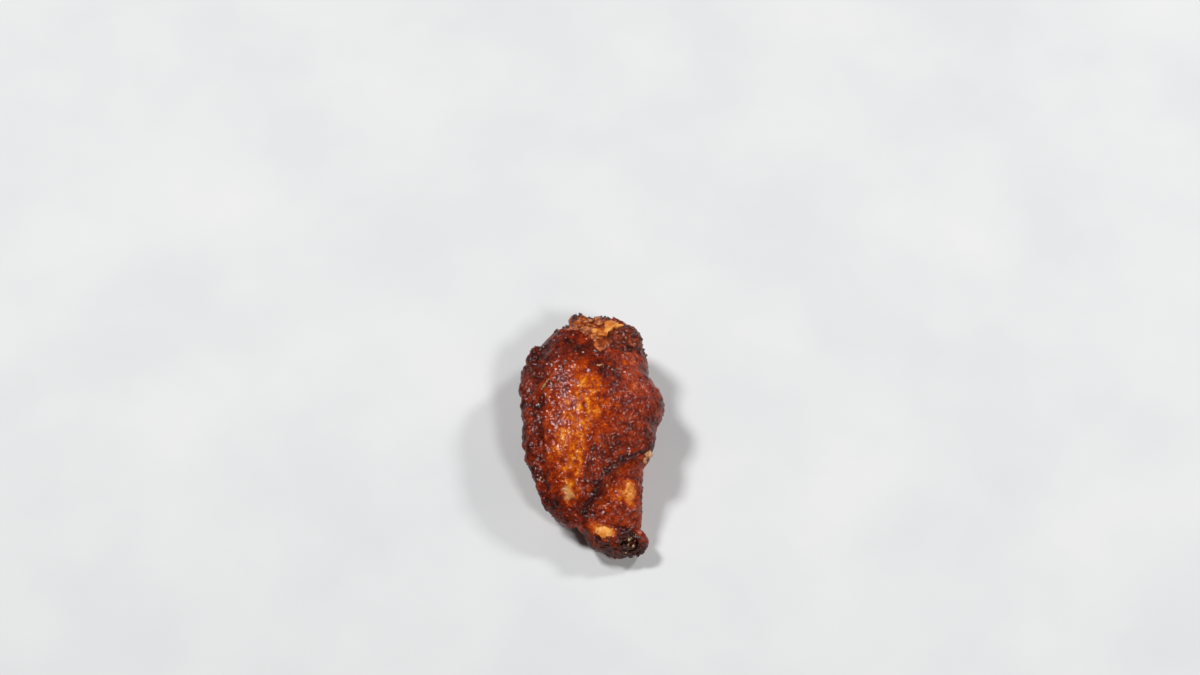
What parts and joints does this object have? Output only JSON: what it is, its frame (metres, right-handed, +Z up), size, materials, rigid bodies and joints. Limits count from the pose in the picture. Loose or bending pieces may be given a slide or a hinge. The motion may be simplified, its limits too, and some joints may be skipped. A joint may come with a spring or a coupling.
{
  "type": "chicken wing drumette",
  "caption": "Fried chicken drumette, the meaty upper joint of a wing, lying with its browned skin up, bone showing at knuckle and shoulder.",
  "frame": {"origin": "on the flat spot of the underside that the meat rests on, halfway along the drumette", "axes": "+Z up from the resting surface, towards the browned face; +Y along the drumette from the knuckle of the elbow to the thick shoulder end; +X across it, to the side of the shank"},
  "size_m": [0.0486, 0.0863, 0.0291],
  "materials": {
    "fried_skin": "deep-fried chicken skin, browned unevenly and glossy with oil",
    "bone_and_cartilage": "cooked bone end and cartilage, yellow-orange and waxy"
  },
  "bodies": {
    "root": {"drumette_meat": "fried_skin", "humerus_bone": "bone_and_cartilage"}
  },
  "joints": []
}
